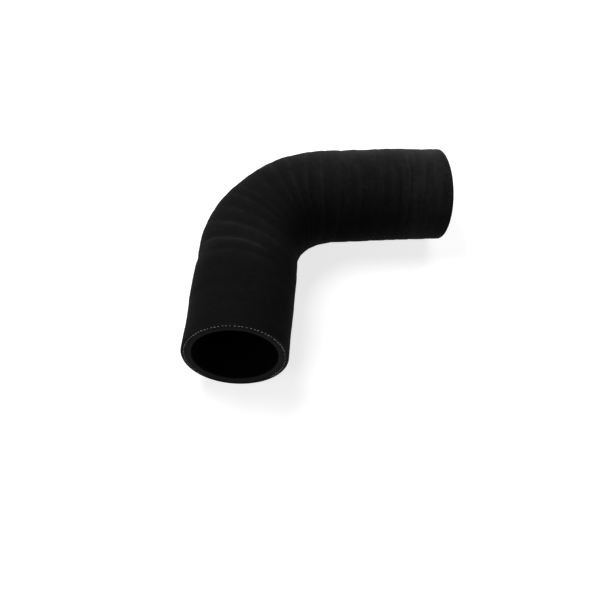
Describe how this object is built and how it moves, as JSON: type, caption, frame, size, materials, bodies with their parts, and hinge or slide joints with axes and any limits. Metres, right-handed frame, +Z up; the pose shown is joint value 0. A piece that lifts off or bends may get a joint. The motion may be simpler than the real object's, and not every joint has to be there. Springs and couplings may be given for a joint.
{
  "type": "coolant hose",
  "caption": "Moulded rubber elbow hose for coolant, open and cut square at both ends, with yarn reinforcement showing in the cut and tape laps on the cover.",
  "frame": {"origin": "middle of the underside of the bounding box of the hose as it lies on its side", "axes": "+Z up, square to the plane of the bend. +Y runs along the near leg, from its open end into the bend. The far leg leaves towards +X, leaning 13 degrees towards +Y"},
  "size_m": [0.1632, 0.1853, 0.0627],
  "materials": {
    "rubber": "satin",
    "yarn": "matte"
  },
  "bodies": {
    "root": {"hose": "rubber"}
  },
  "joints": []
}
